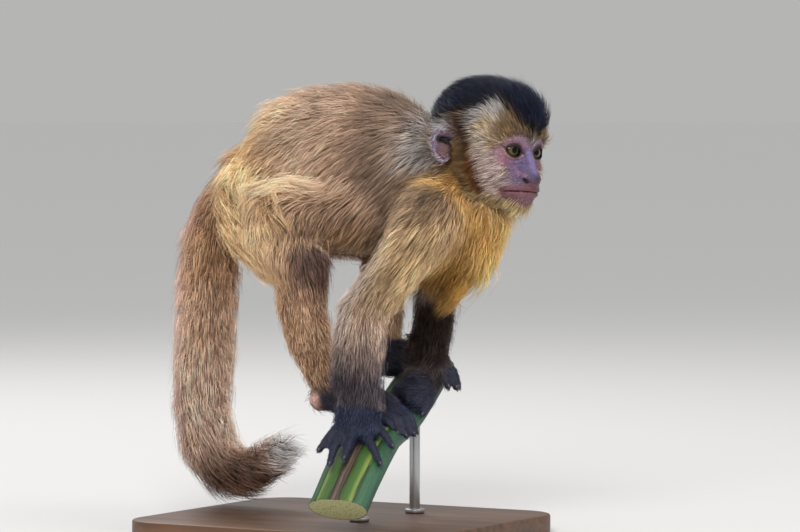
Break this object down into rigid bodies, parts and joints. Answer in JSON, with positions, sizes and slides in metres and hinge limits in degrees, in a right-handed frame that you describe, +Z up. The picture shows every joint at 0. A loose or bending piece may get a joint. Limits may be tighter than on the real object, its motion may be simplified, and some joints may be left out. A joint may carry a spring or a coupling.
{
  "type": "capuchin monkey",
  "caption": "Life-size still capuchin monkey crouched on all fours across a slanting cut stalk, tail hanging behind, held by a flat base with short rods.",
  "frame": {"origin": "middle of the model's bounding box in plan, at the underside of the stand's base", "axes": "+X forward along the monkey's body, towards its head; +Y to the monkey's left; +Z up"},
  "size_m": [0.3218, 0.2442, 0.3447],
  "materials": {
    "cap_coat": "soft",
    "face_skin": "satin",
    "ear_skin": "satin",
    "eye": "glossy",
    "chest_coat": "soft",
    "back_coat": "soft",
    "rump_coat": "soft",
    "arm_coat": "soft",
    "leg_coat": "soft",
    "tail_coat": "soft",
    "hand_skin": "satin",
    "stalk": "satin",
    "base_wood": "satin",
    "rod_steel": "brushed"
  },
  "bodies": {
    "root": {"eye_right": "eye", "eye_left": "eye", "muzzle": "face_skin", "head": "cap_coat", "ear_right": "ear_skin", "ear_left": "ear_skin", "chest": "chest_coat", "abdomen": "back_coat", "pelvis": "rump_coat", "neck": "chest_coat", "perch_stem": "stalk", "upper_arm_right": "arm_coat", "forearm_right": "arm_coat", "hand_right": "hand_skin", "thumb_right_hand": "hand_skin", "index_right_hand": "hand_skin", "middle_right_hand": "hand_skin", "ring_right_hand": "hand_skin", "little_right_hand": "hand_skin", "upper_arm_left": "arm_coat", "forearm_left": "arm_coat", "hand_left": "hand_skin", "thumb_left_hand": "hand_skin", "index_left_hand": "hand_skin", "middle_left_hand": "hand_skin", "ring_left_hand": "hand_skin", "little_left_hand": "hand_skin", "thigh_right": "leg_coat", "shank_right": "leg_coat", "foot_right": "hand_skin", "hallux_right_foot": "hand_skin", "second_right_foot": "hand_skin", "third_right_foot": "hand_skin", "fourth_right_foot": "hand_skin", "fifth_right_foot": "hand_skin", "thigh_left": "leg_coat", "shank_left": "leg_coat", "foot_left": "hand_skin", "hallux_left_foot": "hand_skin", "second_left_foot": "hand_skin", "third_left_foot": "hand_skin", "fourth_left_foot": "hand_skin", "fifth_left_foot": "hand_skin", "tail_1": "tail_coat", "tail_2": "tail_coat", "tail_3": "tail_coat", "tail_4": "tail_coat", "tail_5": "tail_coat", "stand_base": "base_wood", "stand_rod_1": "rod_steel", "stand_rod_2": "rod_steel"}
  },
  "joints": []
}
